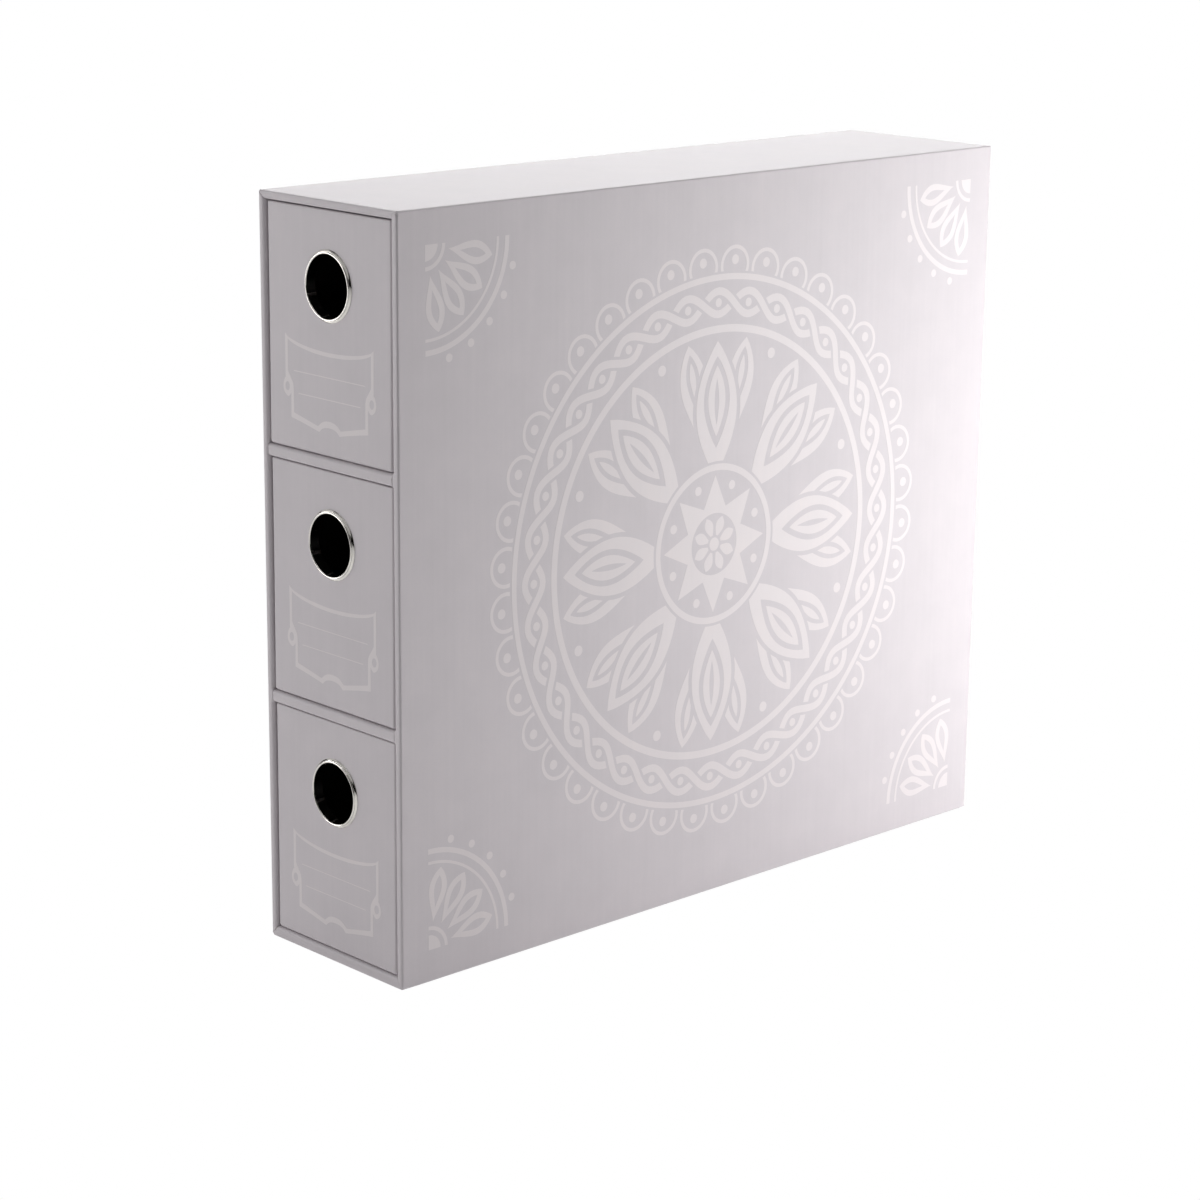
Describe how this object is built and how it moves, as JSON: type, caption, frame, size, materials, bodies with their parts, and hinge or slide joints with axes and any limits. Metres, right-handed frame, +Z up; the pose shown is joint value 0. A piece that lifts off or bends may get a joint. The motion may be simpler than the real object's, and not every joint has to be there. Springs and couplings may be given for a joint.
{
  "type": "trading card drawer box",
  "caption": "Upright paper-covered greyboard casing with drawers one above the other for standing trading cards, each drawer pulled out by a metal finger ring.",
  "frame": {"origin": "on the floor, under the middle of the casing", "axes": "+Z up; drawers pull out towards -Y; +X is the wide face to the right of the drawer fronts, seen from the front"},
  "size_m": [0.0856, 0.3502, 0.315],
  "materials": {
    "greyboard": "matte",
    "cover_paper": "satin",
    "end_paper": "satin",
    "lining_paper": "matte",
    "nickel_ring": "polished",
    "plated_washer": "satin"
  },
  "bodies": {
    "casing": {"casing_left_board": "greyboard", "casing_right_board": "greyboard", "casing_top_board": "greyboard", "casing_base_board": "greyboard", "casing_back_board": "greyboard", "lower_shelf_board": "greyboard", "upper_shelf_board": "greyboard", "lower_shelf_wrap": "cover_paper", "upper_shelf_wrap": "cover_paper", "casing_wrap": "cover_paper", "casing_base_sheet": "end_paper", "casing_back_sheet": "end_paper", "bottom_bay_lining": "lining_paper", "middle_bay_lining": "lining_paper", "top_bay_lining": "lining_paper"},
    "top_drawer": {"top_drawer_front_board": "greyboard", "top_drawer_left_board": "greyboard", "top_drawer_right_board": "greyboard", "top_drawer_back_board": "greyboard", "top_drawer_base_board": "greyboard", "top_drawer_wrap": "cover_paper", "top_drawer_lining": "lining_paper", "top_drawer_finger_ring": "nickel_ring", "top_drawer_ring_washer": "plated_washer"},
    "middle_drawer": {"middle_drawer_front_board": "greyboard", "middle_drawer_left_board": "greyboard", "middle_drawer_right_board": "greyboard", "middle_drawer_back_board": "greyboard", "middle_drawer_base_board": "greyboard", "middle_drawer_wrap": "cover_paper", "middle_drawer_lining": "lining_paper", "middle_drawer_finger_ring": "nickel_ring", "middle_drawer_ring_washer": "plated_washer"},
    "bottom_drawer": {"bottom_drawer_front_board": "greyboard", "bottom_drawer_left_board": "greyboard", "bottom_drawer_right_board": "greyboard", "bottom_drawer_back_board": "greyboard", "bottom_drawer_base_board": "greyboard", "bottom_drawer_wrap": "cover_paper", "bottom_drawer_lining": "lining_paper", "bottom_drawer_finger_ring": "nickel_ring", "bottom_drawer_ring_washer": "plated_washer"}
  },
  "joints": [
    {"name": "top_drawer_slide", "type": "slide", "parent": "casing", "child": "top_drawer", "axis": [0, -1, 0], "range_m": [0, 0.35]},
    {"name": "middle_drawer_slide", "type": "slide", "parent": "casing", "child": "middle_drawer", "axis": [0, -1, 0], "range_m": [0, 0.35]},
    {"name": "bottom_drawer_slide", "type": "slide", "parent": "casing", "child": "bottom_drawer", "axis": [0, -1, 0], "range_m": [0, 0.35]}
  ]
}
